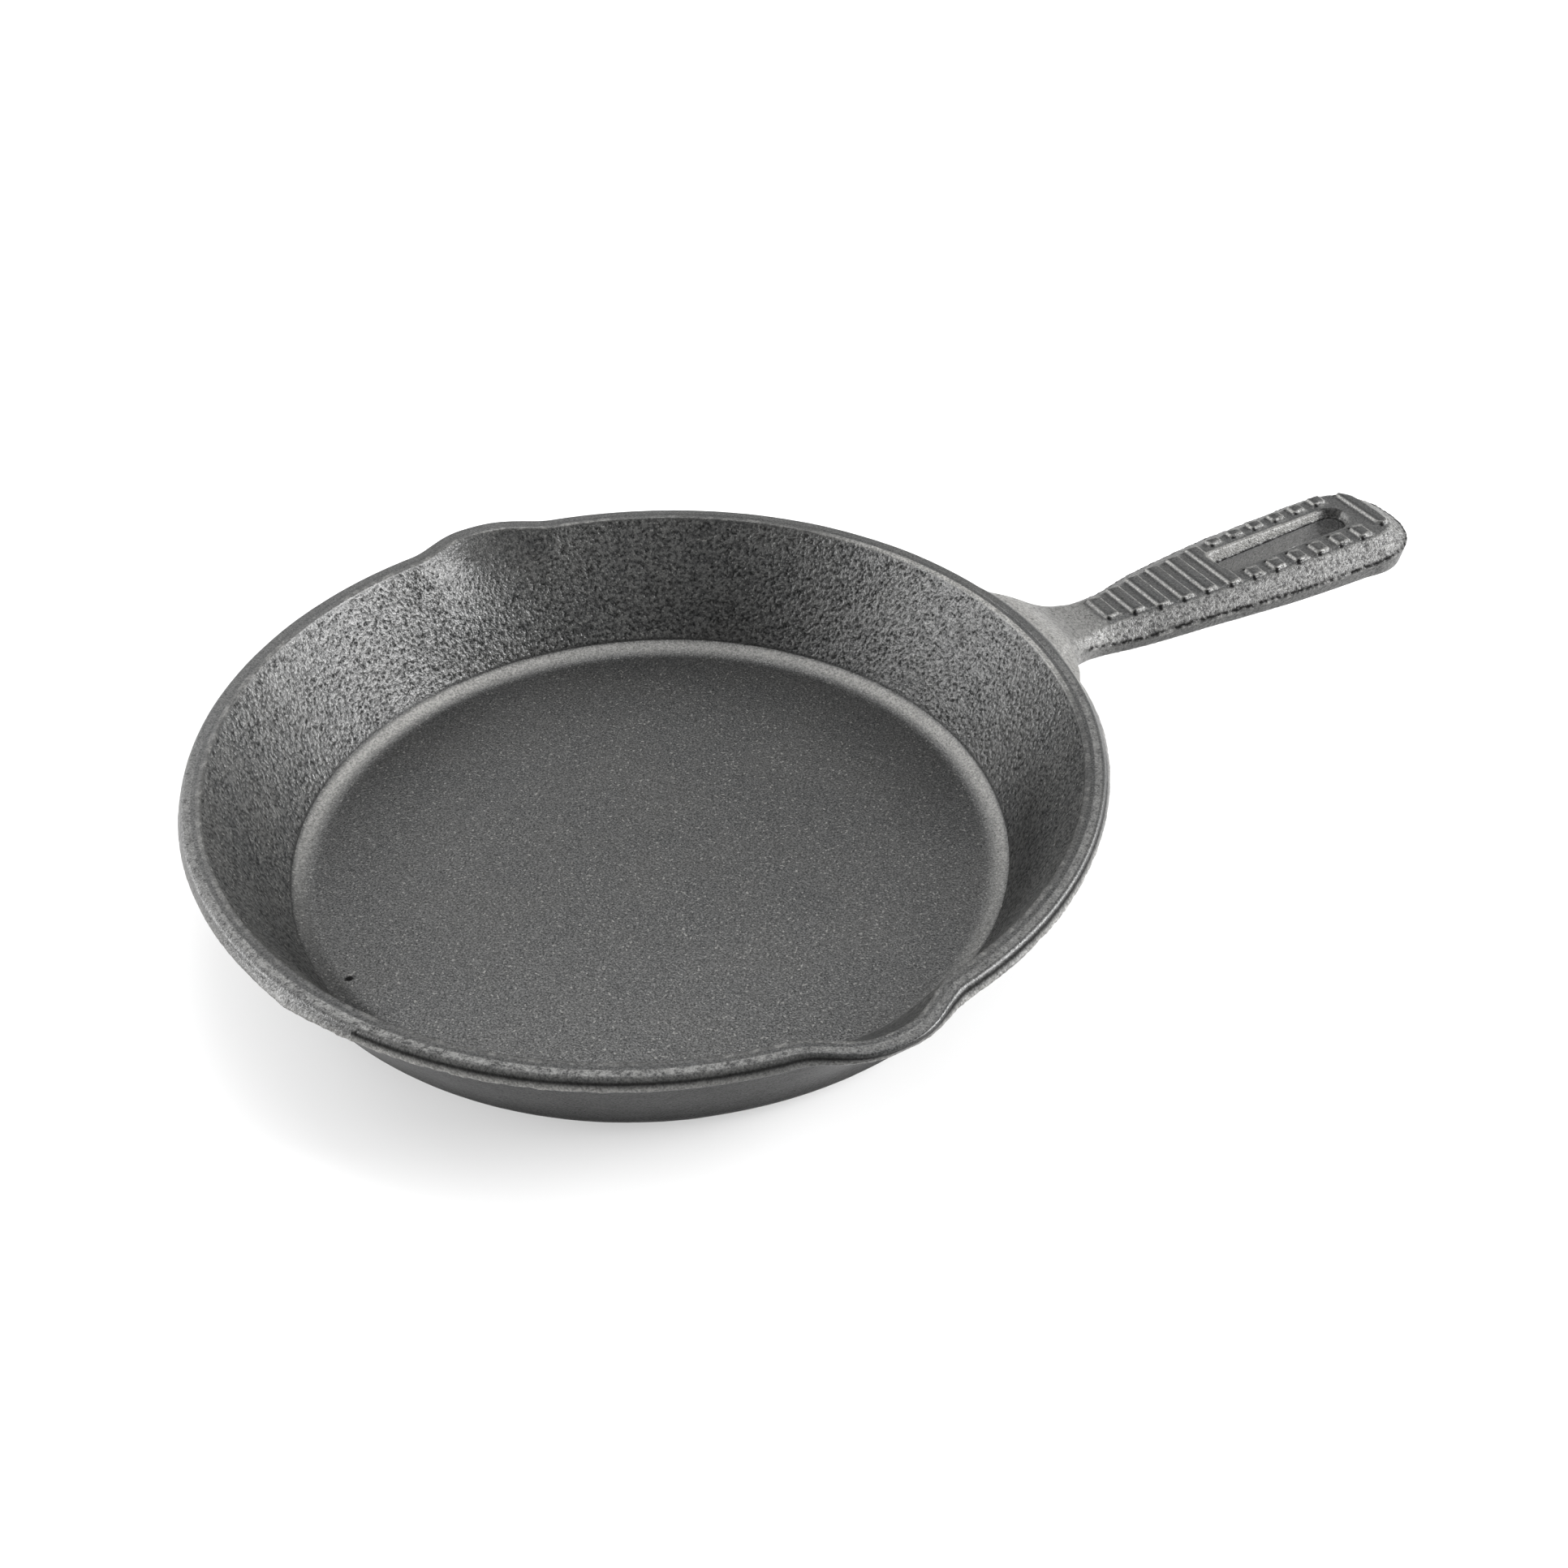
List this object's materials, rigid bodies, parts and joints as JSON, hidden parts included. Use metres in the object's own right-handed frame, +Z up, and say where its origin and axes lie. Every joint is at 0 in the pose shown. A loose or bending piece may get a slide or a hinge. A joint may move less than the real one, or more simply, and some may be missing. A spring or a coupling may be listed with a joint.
{
  "type": "cast iron skillet",
  "caption": "Round cast iron skillet with a flared side wall, opposed pouring lips in its flat rim and a ribbed handle with a long hanging slot, cast in one with the pan.",
  "frame": {"origin": "centre of the flat underside of the base, on the surface the pan stands on", "axes": "+X along the handle, from the pan's centre to the handle's end; +Z up, out of the pan's mouth; +Y to the left pouring lip seen from the handle's root looking out"},
  "size_m": [0.3134, 0.2107, 0.033],
  "materials": {
    "seasoned_iron_floor": "fine sand-cast grain, pre-seasoned, satin",
    "seasoned_iron_wall": "coarse pebbled sand-cast grain inside, finer outside, pre-seasoned, satin",
    "seasoned_iron_handle": "smooth cast ribs on top, sandy sloping flanks, ground parting edge, pre-seasoned, satin"
  },
  "bodies": {
    "root": {"cooking_floor": "seasoned_iron_floor", "side_wall": "seasoned_iron_wall", "handle": "seasoned_iron_handle"}
  },
  "joints": []
}
